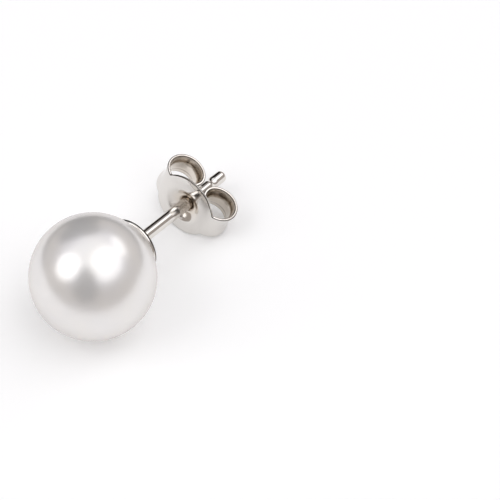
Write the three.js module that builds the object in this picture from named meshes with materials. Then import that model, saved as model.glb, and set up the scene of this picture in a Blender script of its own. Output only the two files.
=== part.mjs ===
// Pearl stud earring with a butterfly clutch on its post, lying on a flat surface.
// Units are millimetres and +Z is up. The group's origin is the middle of the bottom of its box.
// Each piece is first made about the line of the post: the pearl's centre is at zero, +Z runs from
// the pearl to the tip, and +X runs along the clutch's wings. The whole is then laid down on the
// pearl, the edge of the clutch's plate and the lower wing.

import * as THREE from "three";
import { mergeVertices } from "three/addons/utils/BufferGeometryUtils.js";

// Pearl
const PEARL_D = 8;
const DRILL_D = 0.9;
const DRILL_DEPTH = 3.2;

// Cup, peg and post, soldered into one piece of silver
const CUP_D = 4.04;
const CUP_WALL = 0.33;
const CUP_BED = 0.04;
const SOLDER_R = 0.25;
const PEG_CLEARANCE = 0.1;
const PEG_END_CLEARANCE = 0.2;
const PEG_BEVEL = 0.08;
const POST_D = 0.8;
const POST_LENGTH = 9.26;
const TIP_ROUND = 0.3;
const GROOVE_FROM_TIP = 1.28;
const GROOVE_WIDTH = 0.62;
const GROOVE_DEPTH = 0.08;

// Butterfly clutch, stamped from one strip of sheet
const SHEET = 0.18;
const PLATE_D = 4.24;
const NECK_WIDTH = 2.13;
const HOLE_CLEARANCE = 0.06;
const COLLAR_DEPTH = 0.16;
const COLLAR_WIDTH = 0.07;
const DIMPLE_DEPTH = 0.37;
const DIMPLE_WIDTH = 0.5;
const PLATE_DOME = 0.09;
const WING_FLAT = 1.46;
const WING_OUT = 1.19;
const WING_BACK = 2.5;
const WING_RIM_GAP = 0.45;
const CURL_IN = 1.01;
const CURL_R = 0.86;
const CURL_TURN = 48;
const CHANNEL_DEPTH = 0.13;
const CHANNEL_RUN = 1.2;
const GRIP_CLEARANCE = 0.05;
const CORNER_R = 0.35;
const WING_TIP_WIDTH = 1.72;
const PLATE_FROM_PEARL = 5.34;

// Worked out from the sizes above
const PEARL_R = PEARL_D / 2;
const DRILL_R = DRILL_D / 2;
const POST_R = POST_D / 2;
const PEG_R = DRILL_R - PEG_CLEARANCE;
const PEG_END = PEARL_R - DRILL_DEPTH + PEG_END_CLEARANCE;
const TIP_Z = PEARL_R + POST_LENGTH;
const PLATE_R = PLATE_D / 2;
const PLATE_Z = PEARL_R + PLATE_FROM_PEARL;
const COLLAR_R = POST_R + HOLE_CLEARANCE + SHEET / 2;
const DIMPLE_IN_R = COLLAR_R + COLLAR_WIDTH;
const DIMPLE_OUT_R = DIMPLE_IN_R + DIMPLE_WIDTH;
const NECK_ANGLE = Math.asin(NECK_WIDTH / PLATE_D);
const NECK_X = PLATE_R * Math.cos(NECK_ANGLE);
const RIM_X = (WING_RIM_GAP + SHEET) / 2;
const GRIP_DEPTH = POST_R + GRIP_CLEARANCE + SHEET / 2 - RIM_X;

// Counts of facets
const PEARL_TURNS = 56;
const POST_TURNS = 36;
const NECK_STEPS = 8;
const SIDE_STEPS = 16;
const PLATE_RINGS = 11;
const WING_STEPS = 38;

const pearlMaterial = new THREE.MeshStandardMaterial({
  name: "pearl",
  color: 0xefebe8,
  roughness: 0.18,
  metalness: 0,
});

const silverMaterial = new THREE.MeshStandardMaterial({
  name: "polished_silver",
  color: 0xe3e1de,
  roughness: 0.08,
  metalness: 1,
});

// Smooth step from 0 at a to 1 at b
function ease(a, b, x) {
  const t = Math.min(Math.max((x - a) / (b - a), 0), 1);
  return t * t * (3 - 2 * t);
}

// Points on an arc about (0, y) in the half plane of a lathe, from angle a to b measured from its axis
function arcPoints(radius, y, a, b, steps, x = 0) {
  const points = [];
  for (let i = 0; i <= steps; i++) {
    const t = a + ((b - a) * i) / steps;
    points.push(new THREE.Vector2(x + radius * Math.sin(t), y + radius * Math.cos(t)));
  }
  return points;
}

// Solid of revolution about +Z from a profile that starts and ends on the axis
function turned(points, turns) {
  const lathe = new THREE.LatheGeometry(points, turns);
  lathe.rotateX(Math.PI / 2);
  lathe.deleteAttribute("normal");
  lathe.deleteAttribute("uv");
  const solid = mergeVertices(lathe, 1e-5);
  solid.computeVertexNormals();
  return solid;
}

// Round pearl with a blind hole drilled for the peg
function makePearl() {
  const mouth = Math.asin(DRILL_R / PEARL_R);
  const profile = arcPoints(PEARL_R, 0, Math.PI, mouth, PEARL_TURNS / 2);
  profile[0].x = 0;
  const floor = PEARL_R - DRILL_DEPTH;
  profile.push(new THREE.Vector2(DRILL_R, floor));
  profile.push(new THREE.Vector2(0, floor));
  return turned(profile, PEARL_TURNS);
}

// Peg up to the inner face of the cup
function pegProfile(bedR) {
  return [
    new THREE.Vector2(0, PEG_END),
    new THREE.Vector2(PEG_R - PEG_BEVEL, PEG_END),
    new THREE.Vector2(PEG_R, PEG_END + PEG_BEVEL),
    new THREE.Vector2(PEG_R, Math.sqrt(bedR * bedR - PEG_R * PEG_R)),
  ];
}

// Shallow cup whose two faces are parts of spheres about the pearl's centre, with a round rim
function cupProfile(bedR, backR) {
  const rim = Math.asin(CUP_D / 2 / backR);
  const half = (backR - bedR) / 2;
  const edge = rim - half / (bedR + half);
  const inner = arcPoints(bedR, 0, Math.asin(PEG_R / bedR), edge, 10).slice(1);
  const cx = (bedR + half) * Math.sin(edge);
  const cy = (bedR + half) * Math.cos(edge);
  const lip = arcPoints(half, cy, edge + Math.PI, edge, 6, cx).slice(1, -1);
  const join = POST_R + SOLDER_R;
  const outer = arcPoints(backR, 0, edge, Math.asin(join / backR), 10);
  return [...inner, ...lip, ...outer];
}

// Solder fillet from the back of the cup to the post
function solderProfile(backR) {
  const join = POST_R + SOLDER_R;
  const centre = Math.sqrt(backR * backR - join * join) + SOLDER_R;
  return arcPoints(SOLDER_R, centre, Math.PI, 1.5 * Math.PI, 4, join).slice(1);
}

// Plain post with a rounded groove near its rounded tip
function postProfile() {
  const points = [];
  const groove = TIP_Z - GROOVE_FROM_TIP;
  for (let i = 0; i <= 8; i++) {
    const along = i / 8 - 0.5;
    const deep = 0.5 + 0.5 * Math.cos(2 * Math.PI * along);
    points.push(new THREE.Vector2(POST_R - GROOVE_DEPTH * deep, groove + GROOVE_WIDTH * along));
  }
  const end = TIP_Z - TIP_ROUND;
  points.push(...arcPoints(TIP_ROUND, end, Math.PI / 2, 0, 5, POST_R - TIP_ROUND));
  points.push(new THREE.Vector2(0, TIP_Z));
  return points;
}

function makeCupAndPost() {
  const bedR = PEARL_R + CUP_BED;
  const backR = bedR + CUP_WALL;
  const profile = [
    ...pegProfile(bedR),
    ...cupProfile(bedR, backR),
    ...solderProfile(backR),
    ...postProfile(),
  ];
  return turned(profile, POST_TURNS);
}

// Line of one wing's edge, seen along the strip's width: flat, out and back round the loop, in to the
// post and curled under
function wingPath() {
  const rise = WING_BACK / 2;
  const down = WING_BACK - CURL_IN;
  const turn = Math.PI + THREE.MathUtils.degToRad(CURL_TURN);
  const path = new THREE.Path();
  path.moveTo(0, 0);
  path.lineTo(WING_FLAT, 0);
  path.absellipse(WING_FLAT, rise, WING_OUT, rise, -Math.PI / 2, Math.PI / 2, false);
  path.absellipse(WING_FLAT, down, WING_FLAT - RIM_X, CURL_IN, Math.PI / 2, Math.PI, false);
  path.absellipse(RIM_X + CURL_R, down, CURL_R, CURL_R, Math.PI, turn, false);
  path.arcLengthDivisions = 400;
  return path;
}

// Depth of the channel pressed along the middle of a wing, deepest where it wraps the post
function channelDepth(s) {
  const top = NECK_X + (Math.PI / 4) * (WING_OUT + WING_BACK / 2) * 2;
  const shallow = CHANNEL_DEPTH * ease(NECK_X, NECK_X + CHANNEL_RUN, s);
  return shallow + (GRIP_DEPTH - CHANNEL_DEPTH) * ease(top - CURL_IN, top + CURL_IN / 2, s);
}

// Half the width of the strip at a distance along the wing
function halfWidth(along, length) {
  const taper = (along - NECK_X) / (length - NECK_X);
  const full = (NECK_WIDTH - (NECK_WIDTH - WING_TIP_WIDTH) * ease(-0.2, 0.65, taper)) / 2;
  const past = Math.max(along - (length - CORNER_R), 0);
  return full - CORNER_R + Math.sqrt(Math.max(CORNER_R * CORNER_R - past * past, 0));
}

// How far the plate stands out towards the pearl at a distance from the hole's centre
function plateSwell(r) {
  const dome = Math.max((r - DIMPLE_OUT_R) / (PLATE_R - DIMPLE_OUT_R), 0);
  const dimple = 1 - ease(DIMPLE_IN_R - COLLAR_WIDTH / 2, DIMPLE_OUT_R, r);
  const collar = Math.max(1 - (r - COLLAR_R) / COLLAR_WIDTH, 0);
  return PLATE_DOME * (1 - dome * dome) - DIMPLE_DEPTH * dimple - COLLAR_DEPTH * collar * collar;
}

// Folds a point of the flat strip, at s along it and v across it, standing out by swell
function folded(path, length, s, v, swell) {
  const u = Math.min(Math.abs(s) / length, 1);
  const side = s < 0 ? -1 : 1;
  const p = path.getPointAt(u);
  const t = path.getTangentAt(u);
  const x = p.x + swell * t.y;
  const z = p.y - swell * t.x;
  return new THREE.Vector3(side * x, v, z);
}

// Angles round the plate, closer at the two necks so that the wings start on them
function plateAngles() {
  const angles = [];
  for (const centre of [0, Math.PI]) {
    for (let i = 0; i < NECK_STEPS; i++) {
      angles.push(centre + NECK_ANGLE * ((2 * i) / NECK_STEPS - 1));
    }
    for (let i = 0; i < SIDE_STEPS; i++) {
      angles.push(centre + NECK_ANGLE + ((Math.PI - 2 * NECK_ANGLE) * i) / SIDE_STEPS);
    }
  }
  return angles;
}

// Middle surface of the clutch as points and four-sided faces
function clutchSheet() {
  const path = wingPath();
  const length = path.getLength();
  const points = [];
  const faces = [];
  const angles = plateAngles();
  const count = angles.length;
  for (let ring = 0; ring <= PLATE_RINGS; ring++) {
    const r = COLLAR_R + (PLATE_R - COLLAR_R) * Math.pow(ring / PLATE_RINGS, 1.3);
    for (const a of angles) {
      points.push(folded(path, length, r * Math.cos(a), r * Math.sin(a), plateSwell(r)));
    }
  }
  for (let ring = 0; ring < PLATE_RINGS; ring++) {
    for (let k = 0; k < count; k++) {
      const a = ring * count + k;
      const b = ring * count + ((k + 1) % count);
      faces.push([a, b, b + count, a + count]);
    }
  }
  const wing = length - NECK_X;
  for (const side of [1, -1]) {
    const start = PLATE_RINGS * count + (side > 0 ? 0 : count / 2);
    let last = [];
    for (let k = 0; k <= NECK_STEPS; k++) {
      last.push(start + k);
    }
    for (let i = 1; i <= WING_STEPS; i++) {
      const u = i / WING_STEPS;
      const row = [];
      for (let k = 0; k <= NECK_STEPS; k++) {
        const a = NECK_ANGLE * ((2 * k) / NECK_STEPS - 1);
        const across = Math.sin(a) / Math.sin(NECK_ANGLE);
        const bulge = (PLATE_R * Math.cos(a) - NECK_X) * Math.max(1 - 5 * u, 0);
        const s = NECK_X + wing * u + bulge;
        const channel = -channelDepth(s) * (1 - across * across);
        const v = side * across * halfWidth(Math.min(s, length), length);
        points.push(folded(path, length, side * s, v, channel));
        row.push(points.length - 1);
      }
      for (let k = 0; k < NECK_STEPS; k++) {
        faces.push([last[k], last[k + 1], row[k + 1], row[k]]);
      }
      last = row;
    }
  }
  return { points, faces };
}

// Mean direction of the faces round each point
function pointNormals(points, faces) {
  const normals = points.map(() => new THREE.Vector3());
  for (const [a, b, c, d] of faces) {
    const one = points[c].clone().sub(points[a]);
    const two = points[d].clone().sub(points[b]);
    const n = one.cross(two);
    for (const i of [a, b, c, d]) {
      normals[i].add(n);
    }
  }
  return normals.map((n) => n.normalize());
}

// Closed solid of even thickness about a middle surface
function thickened(sheet, thickness) {
  const { points, faces } = sheet;
  const normals = pointNormals(points, faces);
  const count = points.length;
  const positions = [];
  for (const side of [1, -1]) {
    points.forEach((p, i) => {
      const q = p.clone().addScaledVector(normals[i], (side * thickness) / 2);
      positions.push(q.x, q.y, q.z);
    });
  }
  const index = [];
  const open = new Map();
  for (const [a, b, c, d] of faces) {
    index.push(a, b, c, a, c, d);
    index.push(a + count, c + count, b + count, a + count, d + count, c + count);
    for (const [p, q] of [[a, b], [b, c], [c, d], [d, a]]) {
      if (!open.delete(q + "_" + p)) {
        open.set(p + "_" + q, [p, q]);
      }
    }
  }
  for (const [p, q] of open.values()) {
    index.push(p, p + count, q + count, p, q + count, q);
  }
  const solid = new THREE.BufferGeometry();
  solid.setAttribute("position", new THREE.Float32BufferAttribute(positions, 3));
  solid.setIndex(index);
  solid.computeVertexNormals();
  return solid;
}

// Clutch in its own place, with the plate's rim at zero and the wings curled towards +Z
function makeClutch() {
  return thickened(clutchSheet(), SHEET);
}

// Height over the pearl's centre of the lowest clutch point, on the plate or on a wing
function lowest(spots, tilt, roll, onWing) {
  let low = Infinity;
  for (const p of spots) {
    if (Math.abs(p.x) > WING_FLAT === onWing) {
      const up = p.x * Math.sin(roll) + p.y * Math.cos(roll);
      low = Math.min(low, up * Math.cos(tilt) - (p.z + PLATE_Z) * Math.sin(tilt));
    }
  }
  return low;
}

// Halves an interval until f, which falls through zero in it, is zero
function solve(f, from, to) {
  let a = from;
  let b = to;
  for (let i = 0; i < 50; i++) {
    const m = (a + b) / 2;
    if (f(m) > 0) {
      a = m;
    } else {
      b = m;
    }
  }
  return (a + b) / 2;
}

// Tilt of the post and turn of the clutch at which pearl, plate and lower wing all touch the surface
function restingPose(clutch) {
  const at = clutch.getAttribute("position");
  const spots = [];
  for (let i = 0; i < at.count; i++) {
    spots.push(new THREE.Vector3().fromBufferAttribute(at, i));
  }
  const level = (roll) => (tilt) => lowest(spots, tilt, roll, false) + PEARL_R;
  const wingOver = (roll) => lowest(spots, solve(level(roll), 0, 0.8), roll, true) + PEARL_R;
  const roll = solve(wingOver, 0, 1);
  return { roll, tilt: solve(level(roll), 0, 0.8) };
}

function named(name, geometry, material) {
  const mesh = new THREE.Mesh(geometry, material);
  mesh.name = name;
  return mesh;
}

const clutchGeometry = makeClutch();
const pose = restingPose(clutchGeometry);

const clutch = named("butterfly_clutch", clutchGeometry, silverMaterial);
clutch.position.z = PLATE_Z;
clutch.rotation.z = pose.roll;

const lying = new THREE.Group();
lying.add(named("pearl", makePearl(), pearlMaterial));
lying.add(named("cup_and_post", makeCupAndPost(), silverMaterial));
lying.add(clutch);

// The post points along +X and down by the tilt
const tiltSin = Math.sin(pose.tilt);
const tiltCos = Math.cos(pose.tilt);
const laid = new THREE.Matrix4().makeBasis(
  new THREE.Vector3(0, 1, 0),
  new THREE.Vector3(tiltSin, 0, tiltCos),
  new THREE.Vector3(tiltCos, 0, -tiltSin),
);
lying.quaternion.setFromRotationMatrix(laid);

const earring = new THREE.Group();
earring.add(lying);
earring.updateMatrixWorld(true);

const box = new THREE.Box3().setFromObject(earring, true);
const centre = box.getCenter(new THREE.Vector3());
lying.position.set(-centre.x, -centre.y, -box.min.z);

export default earring;
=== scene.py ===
# %% [markdown]
# # A pearl stud earring
# A round pearl sits in a small silver cup on a post, and a butterfly clutch grips the post. The earring
# lies unworn on a white table, on the pearl and on the clutch. The solids from the drawing are loaded
# first as a fixed frame. Every piece made below replaces one of them, at the same size and in the same
# place, with rounder forms and a real finish.

import math

import bmesh
import bpy
from mathutils import Matrix, Vector


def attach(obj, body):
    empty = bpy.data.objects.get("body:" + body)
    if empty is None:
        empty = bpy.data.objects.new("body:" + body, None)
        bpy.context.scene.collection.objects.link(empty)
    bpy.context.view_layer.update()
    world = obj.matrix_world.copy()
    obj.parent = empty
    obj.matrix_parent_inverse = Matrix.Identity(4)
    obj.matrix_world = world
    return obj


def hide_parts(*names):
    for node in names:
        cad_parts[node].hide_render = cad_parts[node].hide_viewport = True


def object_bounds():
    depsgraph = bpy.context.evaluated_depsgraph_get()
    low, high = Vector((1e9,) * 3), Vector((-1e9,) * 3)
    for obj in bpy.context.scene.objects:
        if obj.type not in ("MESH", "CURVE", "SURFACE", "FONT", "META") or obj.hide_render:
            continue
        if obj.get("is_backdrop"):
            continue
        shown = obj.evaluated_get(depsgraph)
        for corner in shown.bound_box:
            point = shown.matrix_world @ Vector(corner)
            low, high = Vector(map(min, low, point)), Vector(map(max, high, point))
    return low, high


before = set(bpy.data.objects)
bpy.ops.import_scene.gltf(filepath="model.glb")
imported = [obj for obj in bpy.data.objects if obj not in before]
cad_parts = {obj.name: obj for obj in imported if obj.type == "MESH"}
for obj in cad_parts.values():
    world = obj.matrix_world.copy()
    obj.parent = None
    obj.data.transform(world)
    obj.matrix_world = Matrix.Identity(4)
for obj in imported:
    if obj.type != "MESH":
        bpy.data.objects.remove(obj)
cad_low, cad_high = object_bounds()

# %% [markdown]
# ## How the earring lies
# All the sizes are the real ones in millimetres. Each piece is drawn about the line of its post, with
# the pearl's centre at zero and the tip along +Z, because the pearl and the post are then plain
# turnings. A stud that is put down rolls until the pearl, the rim of the clutch and one wing touch the
# table, which takes two angles: how far the post dips, and how far the clutch is turned about it. One
# matrix lays a piece down and turns it to metres, so that its object can stay at the origin.

# %% The matrix that lays a piece down
MM = 0.001
POST_DIP = math.radians(11.8816)
CLUTCH_TURN = math.radians(20.121)
PEARL_AT = Vector((-4.5007, 0.0, 4.0))


def lie_down(turn=0.0):
    down = math.sin(POST_DIP)
    along = math.cos(POST_DIP)
    axes = Matrix(((0, down, along), (1, 0, 0), (0, along, -down))).to_4x4()
    about_post = Matrix.Rotation(turn, 4, "Z")
    return Matrix.Scale(MM, 4) @ Matrix.Translation(PEARL_AT) @ axes @ about_post


print("post points along", [round(v, 4) for v in lie_down().to_3x3().col[2].normalized()])

# %% [markdown]
# ## Profiles and turning
# A jeweller turns round parts on a lathe, and the same is done here. A profile starts as one vertex. A
# straight edge is an extruded vertex and an arc is that vertex spun about the arc's centre. The whole
# profile is then spun once about the post's line. A curve object could hold the profile as well, but
# spinning keeps the poles and the faces under control.

# %% Drawing a profile
def start_profile(x, z):
    bm = bmesh.new()
    made = bmesh.ops.create_vert(bm, co=(x, 0, z))
    return bm, made["vert"][0]


def line_to(bm, end, x, z):
    end = bmesh.ops.extrude_vert_indiv(bm, verts=[end])["verts"][0]
    end.co = (x, 0, z)
    return end


def arc_about(bm, end, x, z, degrees, steps):
    made = bmesh.ops.spin(
        bm, geom=[end], cent=(x, 0, z), axis=(0, -1, 0), angle=math.radians(degrees), steps=steps
    )
    return next(part for part in made["geom_last"] if isinstance(part, bmesh.types.BMVert))


# %% Turning it and laying it down
SAME_PLACE = 1e-4


def turn_on_lathe(bm, steps):
    bmesh.ops.spin(
        bm, geom=bm.verts[:] + bm.edges[:], cent=(0, 0, 0), axis=(0, 0, 1),
        angle=math.tau, steps=steps, use_merge=True,
    )
    bmesh.ops.remove_doubles(bm, verts=bm.verts, dist=SAME_PLACE)
    bmesh.ops.recalc_face_normals(bm, faces=bm.faces)


def shade(bm, sharp):
    for face in bm.faces:
        face.smooth = True
    for edge in bm.edges:
        if len(edge.link_faces) == 2:
            edge.smooth = edge.calc_face_angle(0.0) < math.radians(sharp)


def make_piece(name, bm, turn=0.0, sharp=35):
    shade(bm, sharp)
    bm.transform(lie_down(turn))
    mesh = bpy.data.meshes.new(name)
    bm.to_mesh(mesh)
    bm.free()
    piece = bpy.data.objects.new(name, mesh)
    bpy.context.scene.collection.objects.link(piece)
    print(name, "has", len(mesh.polygons), "faces")
    return piece


# %% [markdown]
# ## The pearl
# A cultured pearl grows round a bead and is close to a true sphere. It is drilled not quite half way
# through for the peg. A UV sphere would do for the outside, but a turned half circle can run on into the
# drill hole, so the pearl is one closed body with a real hole behind the cup.

# %% Turn the pearl
PEARL_R = 3.994
DRILL_R = 0.45
DRILL_DEPTH = 3.2
PEARL_STEPS = 240


def make_pearl():
    bm, end = start_profile(0, -PEARL_R)
    mouth = math.degrees(math.asin(DRILL_R / PEARL_R))
    end = arc_about(bm, end, 0, 0, 180 - mouth, PEARL_STEPS // 2)
    end = line_to(bm, end, DRILL_R, PEARL_R - DRILL_DEPTH)
    line_to(bm, end, 0, PEARL_R - DRILL_DEPTH)
    turn_on_lathe(bm, PEARL_STEPS)
    return make_piece("pearl_drilled", bm)


pearl = make_pearl()
print("pearl is", round(2 * PEARL_R, 2), "mm across")

# %% [markdown]
# ## Cup, peg and post
# The cup is a small dished disc of silver that the pearl is glued into. Its peg goes into the drill hole
# and the post is soldered to its back, so all three are one piece of metal. The profile runs from the
# peg's end up into the bowl, round the lip, down the back, over the solder and along the post. A worn
# groove near the tip is where the clutch clicks. The faces of the lip's outer turn carry a mark, and the
# material paints them dark: painted shade along the lip's outer edge.

# %% Sizes of the cup and the post
PEG_R = 0.35
PEG_END = 1.0
PEG_BEVEL = 0.08
CUP_R = 2.02
CUP_BED_R = 4.04
CUP_WALL = 0.33
SOLDER_R = 0.25
POST_R = 0.4
TIP_Z = 13.26
TIP_ROUND = 0.3
GROOVE_Z = 11.98
GROOVE_WIDTH = 0.62
GROOVE_DEPTH = 0.08

# %% Steps in each curve of the profile
BOWL_STEPS = 20
LIP_STEPS = 12
SOLDER_STEPS = 10
GROOVE_STEPS = 16
TIP_STEPS = 12
SILVER_STEPS = 96


# %% Draw the peg and the cup
def draw_peg_and_cup():
    bm, end = start_profile(0, PEG_END)
    end = line_to(bm, end, PEG_R - PEG_BEVEL, PEG_END)
    end = line_to(bm, end, PEG_R, PEG_END + PEG_BEVEL)
    end = line_to(bm, end, PEG_R, math.sqrt(CUP_BED_R**2 - PEG_R**2))
    back_r = CUP_BED_R + CUP_WALL
    lip_r = CUP_WALL / 2
    lip_far = CUP_BED_R + lip_r
    lip = math.asin(CUP_R / back_r) - lip_r / lip_far
    bowl = math.degrees(lip - math.asin(PEG_R / CUP_BED_R))
    end = arc_about(bm, end, 0, 0, -bowl, BOWL_STEPS)
    end = arc_about(bm, end, lip_far * math.sin(lip), lip_far * math.cos(lip), 180, LIP_STEPS)
    join = POST_R + SOLDER_R
    back = math.degrees(lip - math.asin(join / back_r))
    end = arc_about(bm, end, 0, 0, back, BOWL_STEPS)
    end = arc_about(bm, end, join, math.sqrt(back_r**2 - join**2) + SOLDER_R, -90, SOLDER_STEPS)
    return bm, end


# %% Draw the groove, the post and its rounded tip
def draw_post(bm, end):
    for step in range(GROOVE_STEPS + 1):
        along = step / GROOVE_STEPS - 0.5
        deep = GROOVE_DEPTH * (0.5 + 0.5 * math.cos(math.tau * along))
        end = line_to(bm, end, POST_R - deep, GROOVE_Z + GROOVE_WIDTH * along)
    end = line_to(bm, end, POST_R, TIP_Z - TIP_ROUND)
    end = arc_about(bm, end, POST_R - TIP_ROUND, TIP_Z - TIP_ROUND, 90, TIP_STEPS)
    line_to(bm, end, 0, TIP_Z)


# %% Mark the lip and turn the whole
# The painted shade goes on the faces of the lip that lean from sideways to well back along the post.
FACING_OUT = -0.05
FACING_BACK = 0.85


def mark_lip(bm):
    painted_dark_edge = bm.faces.layers.float.new("painted_dark_edge")
    for face in bm.faces:
        at = face.calc_center_median()
        on_lip = at.xy.length > CUP_R - CUP_WALL and at.z > 0
        face[painted_dark_edge] = float(on_lip and FACING_OUT < face.normal.z < FACING_BACK)


def make_cup_and_post():
    bm, end = draw_peg_and_cup()
    draw_post(bm, end)
    turn_on_lathe(bm, SILVER_STEPS)
    mark_lip(bm)
    return make_piece("cup_peg_and_post", bm)


cup_and_post = make_cup_and_post()
print("post is", 2 * POST_R, "mm thick and", round(TIP_Z - PEARL_AT.z, 2), "mm long from the pearl")

# %% [markdown]
# ## The clutch's blank
# A butterfly clutch is stamped from one strip of springy sheet: a round plate with a wing at each side.
# It is made here in the same order as in the press. First the flat blank: the plate is a line of edges
# spun round the hole, and the wings are extruded from the plate's rim in rows. The flat place of every
# point is kept in a UV map, so that the rolling marks can follow the metal round its curls.

# %% Sizes of the sheet
SHEET = 0.18
PLATE_R = 2.1
PLATE_Z = 9.34
HOLE_R = 0.55
NECK_ANGLE = math.radians(30.15)
NECK_X = PLATE_R * math.cos(NECK_ANGLE)
NECK_WIDTH = 2.13
WING_TIP_WIDTH = 1.72
CORNER_R = 0.35

# %% Sizes of the line that a wing is bent along
WING_FLAT = 1.46
WING_OUT = 1.19
WING_BACK = 2.5
RIM_X = 0.315
CURL_IN = 1.01
CURL_R = 0.86
CURL_TURN = math.radians(48)
FOLD_STEPS = 240
TURN_IN_STEPS = 160
CURL_STEPS = 60


# %% The line that a wing is bent along, seen from the side
def ellipse_points(x, z, across, up, start, stop, steps):
    for step in range(1, steps + 1):
        angle = start + (stop - start) * step / steps
        yield Vector((x + across * math.cos(angle), z + up * math.sin(angle)))


def wing_line():
    rise = WING_BACK / 2
    down = WING_BACK - CURL_IN
    inward = WING_FLAT - RIM_X
    half = math.pi
    quarter = math.pi / 2
    points = [Vector((0, 0)), Vector((WING_FLAT, 0))]
    points += ellipse_points(WING_FLAT, rise, WING_OUT, rise, -quarter, quarter, FOLD_STEPS)
    points += ellipse_points(WING_FLAT, down, inward, CURL_IN, quarter, half, TURN_IN_STEPS)
    points += ellipse_points(
        RIM_X + CURL_R, down, CURL_R, CURL_R, half, half + CURL_TURN, CURL_STEPS
    )
    far = [0.0]
    for last, point in zip(points, points[1:]):
        far.append(far[-1] + (point - last).length)
    return points, far


WING_POINTS, WING_FAR = wing_line()
WING_LENGTH = WING_FAR[-1]
print("a wing is", round(WING_LENGTH - NECK_X, 2), "mm long from its neck")

# %% Width of a wing along it
TAPER_FROM = -0.2
TAPER_TO = 0.65


def ease(start, stop, x):
    share = min(max((x - start) / (stop - start), 0.0), 1.0)
    return share * share * (3 - 2 * share)


def half_width(along):
    out = (along - NECK_X) / (WING_LENGTH - NECK_X)
    narrower = (NECK_WIDTH - WING_TIP_WIDTH) * ease(TAPER_FROM, TAPER_TO, out)
    full = (NECK_WIDTH - narrower) / 2
    past = max(along - (WING_LENGTH - CORNER_R), 0.0)
    return full - CORNER_R + math.sqrt(max(CORNER_R**2 - past**2, 0.0))


# %% Cut the round plate, with its rings closer together near the hole
PLATE_RINGS = 30
PLATE_STEPS = 96
RING_SPREAD = 1.3


def cut_plate():
    bm, end = start_profile(HOLE_R, 0)
    for ring in range(1, PLATE_RINGS + 1):
        out = (ring / PLATE_RINGS) ** RING_SPREAD
        end = line_to(bm, end, HOLE_R + (PLATE_R - HOLE_R) * out, 0)
    turn_on_lathe(bm, PLATE_STEPS)
    return bm


# %% Draw a wing out of the rim, where the rim's own curve fades over the first rows
RIM_SLACK = 1e-3
NECK_SLACK = 0.02
WING_ROWS = 84
RIM_FADE = 5


def neck_edges(bm, side):
    half = NECK_WIDTH / 2 + NECK_SLACK
    for edge in bm.edges:
        on_rim = all(vert.co.xy.length > PLATE_R - RIM_SLACK for vert in edge.verts)
        if on_rim and all(vert.co.x * side > 0 and abs(vert.co.y) < half for vert in edge.verts):
            yield edge


def draw_out_wing(bm, side):
    across = bm.verts.layers.float["across"]
    row = list(neck_edges(bm, side))
    for vert in {vert for edge in row for vert in edge.verts}:
        vert[across] = vert.co.y / (NECK_WIDTH / 2)
    for step in range(1, WING_ROWS + 1):
        out = step / WING_ROWS
        made = bmesh.ops.extrude_edge_only(bm, edges=row)["geom"]
        row = [part for part in made if isinstance(part, bmesh.types.BMEdge)]
        new = [part for part in made if isinstance(part, bmesh.types.BMVert)]
        row = [edge for edge in row if all(vert in new for vert in edge.verts)]
        for vert in new:
            share = max(min(vert[across], 1.0), -1.0)
            rim = math.sqrt(PLATE_R**2 - (share * NECK_WIDTH / 2) ** 2) - NECK_X
            along = NECK_X + (WING_LENGTH - NECK_X) * out + rim * max(1 - RIM_FADE * out, 0)
            vert.co.xy = side * along, share * half_width(min(along, WING_LENGTH))


# %% [markdown]
# ## Pressing and folding
# The press then sinks a dimple round the hole and a long channel in each wing, which wraps the post and
# grips it. Last the wings are folded out, back and in. Both steps only move the blank's points, as a
# press moves metal. Shape keys or a lattice could bend it as well, but a line that is measured along its
# own length keeps the sheet from stretching.

# %% Sizes of the dimple and the channels
DIMPLE_IN_R = 0.62
DIMPLE_OUT_R = 1.4
DIMPLE_DEPTH = 0.35
COLLAR_WIDTH = 0.07
COLLAR_DEPTH = 0.16
PLATE_DOME = 0.09
NECK_RUN = 1.2
CHANNEL_DEPTH = 0.13
GRIP_DEPTH = 0.225
CHANNEL_FLOOR = 0.2
CHANNEL_EDGE = 0.9


# %% Press the dimple and the channels
def plate_swell(r):
    dome = max((r - DIMPLE_OUT_R) / (PLATE_R - DIMPLE_OUT_R), 0.0)
    dimple = 1 - ease(DIMPLE_IN_R - COLLAR_WIDTH / 2, DIMPLE_OUT_R, r)
    collar = max(1 - (r - HOLE_R) / COLLAR_WIDTH, 0.0)
    return PLATE_DOME * (1 - dome**2) - DIMPLE_DEPTH * dimple - COLLAR_DEPTH * collar**2


def channel_depth(along):
    crown = NECK_X + math.pi / 2 * (WING_OUT + WING_BACK / 2)
    shallow = CHANNEL_DEPTH * ease(NECK_X, NECK_X + NECK_RUN, along)
    deeper = ease(crown - CURL_IN, crown + CURL_IN / 2, along)
    return shallow + (GRIP_DEPTH - CHANNEL_DEPTH) * deeper


def press(bm):
    across = bm.verts.layers.float["across"]
    for vert in bm.verts:
        r = vert.co.xy.length
        if r < PLATE_R + RIM_SLACK:
            vert.co.z = plate_swell(r)
        else:
            in_channel = 1 - ease(CHANNEL_FLOOR, CHANNEL_EDGE, abs(vert[across]))
            vert.co.z = -channel_depth(abs(vert.co.x)) * in_channel


# %% Fold the wings
def on_wing_line(along):
    low = 0
    while low < len(WING_FAR) - 2 and WING_FAR[low + 1] < along:
        low += 1
    edge = WING_POINTS[low + 1] - WING_POINTS[low]
    tangent = edge.normalized()
    return WING_POINTS[low] + tangent * (along - WING_FAR[low]), tangent


def fold(bm):
    for vert in bm.verts:
        along = abs(vert.co.x)
        swell = vert.co.z - SHEET / 2
        place, tangent = on_wing_line(min(along, WING_LENGTH))
        side = -1 if vert.co.x < 0 else 1
        vert.co.x = side * (place.x + swell * tangent.y)
        vert.co.z = PLATE_Z + place.y - swell * tangent.x
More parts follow.
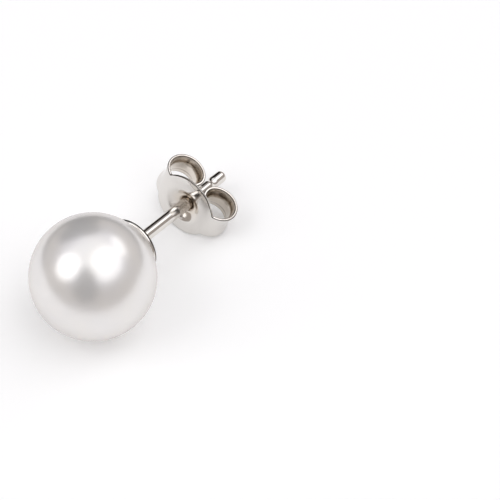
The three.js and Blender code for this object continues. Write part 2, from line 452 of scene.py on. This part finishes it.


# %% [markdown]
# ## Thickness, worn edges and painted shade
# The sheet gets its thickness last. Tumbling has worn its cut edges, so the outline is beveled by 0.3 of
# the sheet at each side. The inside of the curls and the dimple are given painted shade, the creases
# beside the channels and the edge of the hole a brown painted shade, and the turn of the edges a dark
# painted reflection. The mesh carries these places as attributes from 0 to 1, because they follow the
# metal
# and not a direction in space: one for a light painted shade that also dulls the metal, one for the
# brown, one for a dark line.

# %% Places given painted shade
# The creases are given as shares of the half width. The light painted shade fades in over the neck.
CREASE_FROM = 0.45
CREASE_TO = 0.58
BEFORE_NECK = 0.4
PAST_NECK = 0.8
HOLE_EDGE = 0.05


def in_dimple(flat):
    return 1 - ease(DIMPLE_IN_R, DIMPLE_OUT_R, flat.length)


# Painted shade: the brown tone lies round the hole and along the creases beside the channels.
def beside_hole(flat):
    return 1 - ease(HOLE_R + HOLE_EDGE, DIMPLE_IN_R + HOLE_EDGE, flat.length)


# %% Keep the flat places and mark the inside of the strip
def keep_flat_places(bm):
    strip = bm.loops.layers.uv.new("strip")
    for face in bm.faces:
        for loop in face.loops:
            loop[strip].uv = loop.vert.co.xy


# Painted shade: the inside of the curls and the dimple get a light painted shade, and the creases and the
# hole's edge a brown one.
def mark_inside(bm):
    painted_shade_and_dull = bm.verts.layers.float.new("painted_shade_and_dull")
    painted_brown_shade = bm.verts.layers.float.new("painted_brown_shade")
    strip = bm.loops.layers.uv["strip"]
    across = bm.verts.layers.float["across"]
    for vert in bm.verts:
        flat = vert.link_loops[0][strip].uv
        out = abs(flat.x)
        on_crease = CREASE_FROM < abs(vert[across]) < CREASE_TO
        vert[painted_brown_shade] = float(on_crease) * ease(NECK_X, NECK_X + PAST_NECK, out) + beside_hole(flat)
        vert[painted_shade_and_dull] = ease(NECK_X - BEFORE_NECK, NECK_X + PAST_NECK, out) + in_dimple(flat)


# %% Thicken the sheet, with the painted shade only round the hole on its outside
def thicken(bm):
    painted_shade_and_dull = bm.verts.layers.float["painted_shade_and_dull"]
    painted_brown_shade = bm.verts.layers.float["painted_brown_shade"]
    strip = bm.loops.layers.uv["strip"]
    made = bmesh.ops.solidify(bm, geom=bm.faces[:], thickness=SHEET)["geom"]
    for part in made:
        if isinstance(part, bmesh.types.BMVert):
            flat = part.link_loops[0][strip].uv
            part[painted_shade_and_dull] = in_dimple(flat)
            part[painted_brown_shade] = beside_hole(flat)


# %% Wear the outline round and paint a dark line at each side of it, a painted reflection
EDGE_WORN = 0.3 * SHEET
EDGE_SEGMENTS = 3
CUT_ANGLE = math.radians(40)
OVER_PLATE = 0.3


def on_outline(edge):
    return edge.calc_face_angle(0.0) > CUT_ANGLE and all(
        vert.co.xy.length > HOLE_R + HOLE_EDGE or vert.co.z > PLATE_Z + OVER_PLATE
        for vert in edge.verts
    )


def worn_beside(face, worn):
    return [other for edge in face.edges for other in edge.link_faces if other in worn]


# Painted reflection: a band of worn faces at each side of the outline is marked to be painted dark.
def wear_outline(bm):
    painted_dark_edge = bm.faces.layers.float.new("painted_dark_edge")
    outline = [edge for edge in bm.edges if on_outline(edge)]
    beveled = bmesh.ops.bevel(
        bm, geom=outline, offset=EDGE_WORN, segments=EDGE_SEGMENTS, profile=0.5,
        affect="EDGES", material=-1, clamp_overlap=False,
    )
    worn = set(beveled["faces"])
    for face in bm.faces:
        near = worn_beside(face, worn)
        if face not in worn and len(near) == 1:
            for dark in worn_beside(near[0], worn):
                dark[painted_dark_edge] = 1.0
    print("edges of the outline worn round:", len(outline))


# %% Make the clutch
def make_clutch():
    bm = cut_plate()
    bm.verts.layers.float.new("across")
    for side in (1, -1):
        draw_out_wing(bm, side)
    keep_flat_places(bm)
    press(bm)
    fold(bm)
    bmesh.ops.recalc_face_normals(bm, faces=bm.faces)
    mark_inside(bm)
    thicken(bm)
    wear_outline(bm)
    piece = make_piece("clutch_sheet", bm, CLUTCH_TURN, sharp=60)
    even = piece.modifiers.new("even shading", "WEIGHTED_NORMAL")
    even.keep_sharp = True
    return piece


clutch = make_clutch()

# %% [markdown]
# ## Colours and nodes
# Colours are written as the hex values that a screen shows. A shader works in linear light, so one
# function turns them. Another adds a node with its settings and links in one call, which keeps a
# material readable as a list of steps. A Mix node has sockets of the same name for numbers, vectors and
# colours, so its sockets for colours are picked by number.

# %% Helpers for the finishes
MIX_SHARE = 0
MIX_UNDER = 6
MIX_OVER = 7
MIX_COLOUR = 2


def linear(hex_colour):
    values = [int(hex_colour[i : i + 2], 16) / 255 for i in (1, 3, 5)]
    return [v / 12.92 if v <= 0.04045 else ((v + 0.055) / 1.055) ** 2.4 for v in values] + [1.0]


def add_node(tree, kind, settings=None, links=None):
    node = tree.nodes.new(kind)
    for name, value in (settings or {}).items():
        if isinstance(name, int) or name in node.inputs:
            node.inputs[name].default_value = value
        else:
            setattr(node, name, value)
    for name, source in (links or {}).items():
        tree.links.new(source, node.inputs[name])
    return node


def new_material(name):
    material = bpy.data.materials.new(name)
    material.use_nodes = True
    material.node_tree.nodes.clear()
    return material, material.node_tree


# %% [markdown]
# ## Nacre
# Nacre is laid down by the oyster in thousands of thin clear plates of aragonite. Part of the light goes
# in and comes back soft and white, and part is sent back by the stacked plates as a silky mirror. So the
# material is a white body that is partly metallic, although nothing in it is metal, with a sharper clear
# skin over it. Its white wanders between a warm and a cool tint. Slow swells of growth, a millimetre or
# two long, and the edges of the plates give the fine wander in its highlights.

# %% Pearl material
SWELL_LONG = 1.6
SWELL_HIGH = 0.01
# The plates are a few thousandths of a millimetre across, too fine to show, so they are drawn coarser.
PLATE_ACROSS = 0.06
PLATE_EDGE = 0.001
NACRE_IOR = 1.53


def make_nacre():
    material, tree = new_material("nacre_of_a_cultured_pearl")
    place = add_node(tree, "ShaderNodeTexCoord").outputs["Object"]
    swells = add_node(
        tree, "ShaderNodeTexNoise", {"Scale": 1 / (SWELL_LONG * MM), "Detail": 2.0},
        {"Vector": place},
    )
    plates = add_node(
        tree, "ShaderNodeTexNoise", {"Scale": 1 / (PLATE_ACROSS * MM), "Detail": 4.0},
        {"Vector": place},
    )
    tint = add_node(
        tree, "ShaderNodeMix",
        {"data_type": "RGBA", MIX_UNDER: linear("#F7F4F0"), MIX_OVER: linear("#F2F1F2")},
        {MIX_SHARE: swells.outputs["Fac"]},
    )
    slow = add_node(
        tree, "ShaderNodeBump", {"Strength": 0.12, "Distance": SWELL_HIGH * MM},
        {"Height": swells.outputs["Fac"]},
    )
    fine = add_node(
        tree, "ShaderNodeBump", {"Strength": 0.05, "Distance": PLATE_EDGE * MM},
        {"Height": plates.outputs["Fac"], "Normal": slow.outputs["Normal"]},
    )
    skin = add_node(
        tree, "ShaderNodeBsdfPrincipled",
        {
            "Metallic": 0.5, "Roughness": 0.27, "IOR": NACRE_IOR,
            "Specular Tint": linear("#D8D4D1"),
            "Coat Weight": 0.2, "Coat Roughness": 0.14, "Coat IOR": NACRE_IOR,
        },
        {"Base Color": tint.outputs[MIX_COLOUR], "Normal": fine.outputs["Normal"]},
    )
    add_node(tree, "ShaderNodeOutputMaterial", None, {"Surface": skin.outputs["BSDF"]})
    print(material.name, "has", len(tree.nodes), "nodes")
    return material


nacre = make_nacre()

# %% [markdown]
# ## Polished silver
# The metal is sterling silver under a thin flash of rhodium, which keeps it from going dark and makes it
# a little greyer than bare silver. It was tumbled and buffed, so it mirrors its surroundings, softened
# by hairline scratches. On the post they run round it, as from a polishing wheel. On the clutch they
# follow the strip, as from the mill's rollers. Painted shade is laid over the metal's colour in three
# tones, each where the mesh's attribute for it says, and the lightest also makes the clutch duller.

# %% Scale of the scratches, and the tones of the painted shade
# Real scratches are about 0.005 mm wide. They are drawn some five times as wide, so that they show.
WHEEL_SCRATCH = (1 / 30, 1 / 8, 1 / 8)
MILL_SCRATCH = (1 / 2, 1 / 40, 1)
SCRATCH_DEEP = 0.001
SMUDGE_ACROSS = 2 / 3
DULL_WHERE_SHADED = 0.10
# Painted shade in three tones: a light one, a brown one and a dark line.
PAINTED_SHADE_TONES = (("painted_shade_and_dull", "#DCD4CA"), ("painted_brown_shade", "#8F806F"), ("painted_dark_edge", "#4A433D"))


# %% Silver material
# Each tone of painted shade is mixed over the bare metal's colour where its attribute says.
def lay_painted_shade(tree, bare):
    places = {}
    tone = None
    for name, hex_colour in PAINTED_SHADE_TONES:
        places[name] = add_node(tree, "ShaderNodeAttribute", {"attribute_name": name}).outputs["Fac"]
        over = add_node(
            tree, "ShaderNodeMix",
            {"data_type": "RGBA", MIX_UNDER: linear(bare), MIX_OVER: linear(hex_colour)},
            {MIX_SHARE: places[name]},
        )
        if tone:
            tree.links.new(tone, over.inputs[MIX_UNDER])
        tone = over.outputs[MIX_COLOUR]
    return tone, places["painted_shade_and_dull"]


def make_silver(name, bare, along_strip):
    material, tree = new_material(name)
    if along_strip:
        place = add_node(tree, "ShaderNodeUVMap", {"uv_map": "strip"}).outputs["UV"]
        scales = [1 / size for size in MILL_SCRATCH]
        smudge_scale = 1 / SMUDGE_ACROSS
    else:
        place = add_node(tree, "ShaderNodeTexCoord").outputs["Object"]
        scales = [1 / (size * MM) for size in WHEEL_SCRATCH]
        smudge_scale = 1 / (SMUDGE_ACROSS * MM)
    lines = add_node(tree, "ShaderNodeMapping", {"Scale": scales}, {"Vector": place})
    hairlines = add_node(
        tree, "ShaderNodeTexNoise", {"Scale": 1.0, "Detail": 3.0},
        {"Vector": lines.outputs["Vector"]},
    )
    smudges = add_node(
        tree, "ShaderNodeTexNoise", {"Scale": smudge_scale, "Detail": 2.0}, {"Vector": place}
    )
    gloss = add_node(
        tree, "ShaderNodeMapRange",
        {"From Min": 0.35, "From Max": 0.65, "To Min": 0.06, "To Max": 0.13},
        {"Value": smudges.outputs["Fac"]},
    )
    bump = add_node(
        tree, "ShaderNodeBump", {"Strength": 0.2, "Distance": SCRATCH_DEEP * MM},
        {"Height": hairlines.outputs["Fac"]},
    )
    tone, painted_shade_and_dull = lay_painted_shade(tree, bare)
    roughness = gloss.outputs["Result"]
    if along_strip:
        roughness = add_node(
            tree, "ShaderNodeMath", {"operation": "MULTIPLY_ADD", 1: DULL_WHERE_SHADED},
            {0: painted_shade_and_dull, 2: roughness},
        ).outputs["Value"]
    metal = add_node(
        tree, "ShaderNodeBsdfPrincipled", {"Metallic": 1.0},
        {"Base Color": tone, "Roughness": roughness, "Normal": bump.outputs["Normal"]},
    )
    add_node(tree, "ShaderNodeOutputMaterial", None, {"Surface": metal.outputs["BSDF"]})
    print(name, "has", len(tree.nodes), "nodes")
    return material


wheel_polished = make_silver("wheel_polished_silver", "#E3DFDA", along_strip=False)
rolled = make_silver("rolled_silver_sheet", "#DEDBD7", along_strip=True)

# %% [markdown]
# ## Into the frame
# Each finished piece rides on a body of the frame, so that it moves with its joint: the pearl and the
# silver on the stud, and the sheet on the clutch. It is given its finish and replaces the solid that it
# stands for, which is hidden. Parenting by hand would move the pieces too, and these calls parent each
# piece to an empty named after its body.

# %% Put the pieces in the frame
for piece, finish, body, node, slot in (
    (pearl, nacre, "stud", "pearl", "pearl"),
    (cup_and_post, wheel_polished, "stud", "cup_and_post", "silver"),
    (clutch, rolled, "clutch", "butterfly_clutch", "silver"),
):
    piece.data.materials.append(finish)
    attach(piece, body)
    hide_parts(node)
    print(piece.name, "rides on", body, "and replaces", node)

# %% [markdown]
# ## Camera
# The photograph was taken from well above, with the long lens of product work, so that the two ends of
# the stud look the same size. The camera stands 300 mm from the pearl and is turned by azimuth and
# elevation. It is moved sideways in its own plane until the pearl is where the picture has it.

# %% Where the camera stands
AZIMUTH = math.radians(-52.096)
ELEVATION = math.radians(52.207)
CAMERA_FAR = 300
CAMERA_RIGHT = 9.6886
CAMERA_UP = 1.6539
LENS = 350.27
SENSOR = 36.0
NEAREST = 0.01


# %% Camera at the photograph's angle
def view_direction():
    return Vector((
        -math.sin(AZIMUTH) * math.cos(ELEVATION),
        math.cos(AZIMUTH) * math.cos(ELEVATION),
        -math.sin(ELEVATION),
    ))


def make_camera():
    look = view_direction()
    right = look.cross(Vector((0, 0, 1))).normalized()
    up = right.cross(look)
    camera = bpy.data.objects.new("camera", bpy.data.cameras.new("camera"))
    bpy.context.scene.collection.objects.link(camera)
    camera.data.lens = LENS
    camera.data.sensor_width = SENSOR
    camera.data.clip_start = NEAREST
    camera.location = (
        PEARL_AT + CAMERA_RIGHT * right + CAMERA_UP * up - CAMERA_FAR * look
    ) * MM
    camera.rotation_euler = look.to_track_quat("-Z", "Y").to_euler()
    bpy.context.scene.camera = camera
    print("camera with a lens of", LENS, "mm at", [round(v, 4) for v in camera.location])


make_camera()

# %% [markdown]
# ## The table
# The earring was put on a plain white surface that is brighter than anything else but the lamps. Matt
# white card with a very fine tooth is enough: it takes the soft shadow, and it lights the pearl and the
# metal from below. Out of the camera's view the card carries painted shade, which polished metal shows:
# it is painted grey toward the camera and painted dark from a little behind the earring on. Both are
# painted by distance on the card itself, so they stay in their place when it is seen from another side.

# %% Lay the card
TABLE_R = 3.0
TABLE_STEPS = 96


def lay_card():
    bm = bmesh.new()
    bmesh.ops.create_circle(bm, cap_ends=True, radius=TABLE_R, segments=TABLE_STEPS)
    mesh = bpy.data.meshes.new("white_table")
    bm.to_mesh(mesh)
    bm.free()
    card = bpy.data.objects.new("white_table", mesh)
    bpy.context.scene.collection.objects.link(card)
    return card


# %% Tones of the card, in mm from the earring toward the camera
CARD_WHITE = "#F4F4F4"
# Painted shade greys the card between these distances toward the camera.
GREYS_FROM = 16
GREYS_TO = 45
CARD_PAINTED_SHADE = "#B4B0AC"
# Painted shade darkens the card past these distances behind the earring.
PAINTED_DARK_FROM = -25
PAINTED_DARK_TO = -35
CARD_PAINTED_DARK = "#36322E"
TOOTH_ACROSS = 0.15
TOOTH_HIGH = 0.005
# A faint glow stands for the light that the rest of the studio throws back on the card.
CARD_GLOW = 0.19


# %% Matt white card
# The card's colour carries painted shade: grey toward the camera and dark behind the earring.
def make_card_finish():
    material, tree = new_material("matt_white_card")
    place = add_node(tree, "ShaderNodeTexCoord").outputs["Object"]
    tooth = add_node(
        tree, "ShaderNodeTexNoise", {"Scale": 1 / (TOOTH_ACROSS * MM)}, {"Vector": place}
    )
    bump = add_node(
        tree, "ShaderNodeBump", {"Strength": 0.1, "Distance": TOOTH_HIGH * MM},
        {"Height": tooth.outputs["Fac"]},
    )
    toward_camera = -view_direction()
    toward_camera.z = 0
    nearer = add_node(
        tree, "ShaderNodeVectorMath",
        {"operation": "DOT_PRODUCT", 1: toward_camera.normalized()}, {0: place},
    ).outputs["Value"]
    shares = [
        add_node(
            tree, "ShaderNodeMapRange",
            {"interpolation_type": "SMOOTHSTEP", "From Min": start * MM, "From Max": stop * MM},
            {"Value": nearer},
        ).outputs["Result"]
        for start, stop in ((GREYS_FROM, GREYS_TO), (PAINTED_DARK_FROM, PAINTED_DARK_TO))
    ]
    grey = add_node(
        tree, "ShaderNodeMix",
        {"data_type": "RGBA", MIX_UNDER: linear(CARD_WHITE), MIX_OVER: linear(CARD_PAINTED_SHADE)},
        {MIX_SHARE: shares[0]},
    ).outputs[MIX_COLOUR]
    tone = add_node(
        tree, "ShaderNodeMix", {"data_type": "RGBA", MIX_OVER: linear(CARD_PAINTED_DARK)},
        {MIX_SHARE: shares[1], MIX_UNDER: grey},
    ).outputs[MIX_COLOUR]
    card = add_node(
        tree, "ShaderNodeBsdfPrincipled",
        {"Roughness": 0.7, "Specular IOR Level": 0.2, "Emission Strength": CARD_GLOW},
        {"Base Color": tone, "Emission Color": tone, "Normal": bump.outputs["Normal"]},
    )
    add_node(tree, "ShaderNodeOutputMaterial", None, {"Surface": card.outputs["BSDF"]})
    print(material.name, "has", len(tree.nodes), "nodes")
    return material


table = lay_card()
table.data.materials.append(make_card_finish())
table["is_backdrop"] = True

# %% [markdown]
# ## Lamps
# The pearl is a round mirror, so it tells where the light came from. Two soft boxes show in it: one high
# on the left, and a larger one higher up on the right. A third, low on the right and behind, shows as
# the bright line along the sheet's cut edges. Round area lamps give the pearl's highlights their soft
# round outline, which spot lamps would not.

# %% Soft boxes
LAMP_FAR = 0.45


def toward(azimuth, elevation):
    azimuth = math.radians(azimuth)
    elevation = math.radians(elevation)
    flat = math.cos(elevation)
    return Vector((flat * math.cos(azimuth), flat * math.sin(azimuth), math.sin(elevation)))


def soft_box(name, azimuth, elevation, size, radiance):
    way = toward(azimuth, elevation)
    lamp = bpy.data.lights.new(name, "AREA")
    lamp.shape = "ELLIPSE"
    lamp.size, lamp.size_y = size
    lamp.energy = radiance * math.pi * (math.pi / 4) * size[0] * size[1]
    box = bpy.data.objects.new(name, lamp)
    bpy.context.scene.collection.objects.link(box)
    box.location = PEARL_AT * MM + way * LAMP_FAR
    box.rotation_euler = (-way).to_track_quat("-Z", "Y").to_euler()
    print(name, "gives", round(lamp.energy, 3), "W")


soft_box("soft_box_left", 143, 44, (0.36, 0.36), 1.4)
soft_box("soft_box_right", -76, 62, (0.58, 0.46), 0.76)
soft_box("soft_box_low", -15, 37, (0.30, 0.14), 1.1)

# %% [markdown]
# ## The room
# A pale ceiling lit everything softly, over grey walls. The wall behind the earring was nearly black,
# and the side where the camera stood was dim. Metal needs those dark parts: without them it has no
# lines. A colour ramp by height makes the ceiling and the walls, and soft-edged round patches in given
# directions are laid over it. The camera itself sees only plain pale grey past the table's rim.

# %% Tones by height, and the dark patches: azimuth, elevation, inner and outer angle, colour
ROOM_TONES = (
    (0.0, "#AAA49F"),
    (0.22, "#AEA6A0"),
    (0.45, "#A7A2A0"),
    (0.68, "#D6D5DC"),
    (0.85, "#FDFCFF"),
    (1.0, "#FFFFFF"),
)
DARK_PATCHES = (
    (46, 32, 10, 21, "#1B1714"),
    (66, 28, 10, 24, "#1B1714"),
    (48, 9, 10, 19, "#1B1714"),
    (-155, 28, 12, 30, "#545150"),
    (-155, 50, 8, 26, "#4E4B49"),
)
SEEN_ROOM = "#F2F2F2"


# %% Lay a dark patch over the room
def darken(tree, way, under, azimuth, elevation, inner, outer, hex_colour):
    near = add_node(
        tree, "ShaderNodeVectorMath",
        {"operation": "DOT_PRODUCT", 1: toward(azimuth, elevation)}, {0: way},
    )
    share = add_node(
        tree, "ShaderNodeMapRange",
        {
            "interpolation_type": "SMOOTHSTEP",
            "From Min": math.cos(math.radians(outer)), "From Max": math.cos(math.radians(inner)),
        },
        {"Value": near.outputs["Value"]},
    )
    over = add_node(
        tree, "ShaderNodeMix", {"data_type": "RGBA", MIX_OVER: linear(hex_colour)},
        {MIX_SHARE: share.outputs["Result"], MIX_UNDER: under},
    )
    return over.outputs[MIX_COLOUR]


# %% Room round the table
def make_room():
    world = bpy.data.worlds.new("studio_room")
    bpy.context.scene.world = world
    world.use_nodes = True
    tree = world.node_tree
    tree.nodes.clear()
    way = add_node(tree, "ShaderNodeTexCoord").outputs["Generated"]
    height = add_node(tree, "ShaderNodeSeparateXYZ", None, {"Vector": way}).outputs["Z"]
    walls = add_node(tree, "ShaderNodeValToRGB", None, {"Fac": height})
    tones = walls.color_ramp.elements
    tones[0].color = linear(ROOM_TONES[0][1])
    tones[1].color = linear(ROOM_TONES[-1][1])
    for level, hex_colour in ROOM_TONES[1:-1]:
        tones.new(level).color = linear(hex_colour)
    sky = walls.outputs["Color"]
    for patch in DARK_PATCHES:
        sky = darken(tree, way, sky, *patch)
    room = add_node(tree, "ShaderNodeBackground", {"Strength": 1.0}, {"Color": sky})
    seen = add_node(
        tree, "ShaderNodeBackground", {"Color": linear(SEEN_ROOM), "Strength": 1.0}
    )
    ray = add_node(tree, "ShaderNodeLightPath").outputs["Is Camera Ray"]
    both = add_node(
        tree, "ShaderNodeMixShader", None,
        {0: ray, 1: room.outputs["Background"], 2: seen.outputs["Background"]},
    )
    add_node(tree, "ShaderNodeOutputWorld", None, {"Surface": both.outputs["Shader"]})
    print("room has", len(ROOM_TONES), "tones and", len(DARK_PATCHES), "dark patches")


make_room()

# %% [markdown]
# ## Screen colours and the last step
# The Standard view shows white as white, as a photograph of white card does, where a film-like one would
# grey it. Last, the box of the drawing and the box of the finished pieces are compared, and the largest
# step of the pieces outside the drawing's box is printed.

# %% Compare both boxes and finish
bpy.context.scene.view_settings.view_transform = "Standard"
now_low, now_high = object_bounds()
below = max(a - b for a, b in zip(cad_low, now_low))
above = max(b - a for a, b in zip(cad_high, now_high))
print("largest step outside the frame's box, mm:", round(max(below, above) / MM, 3))
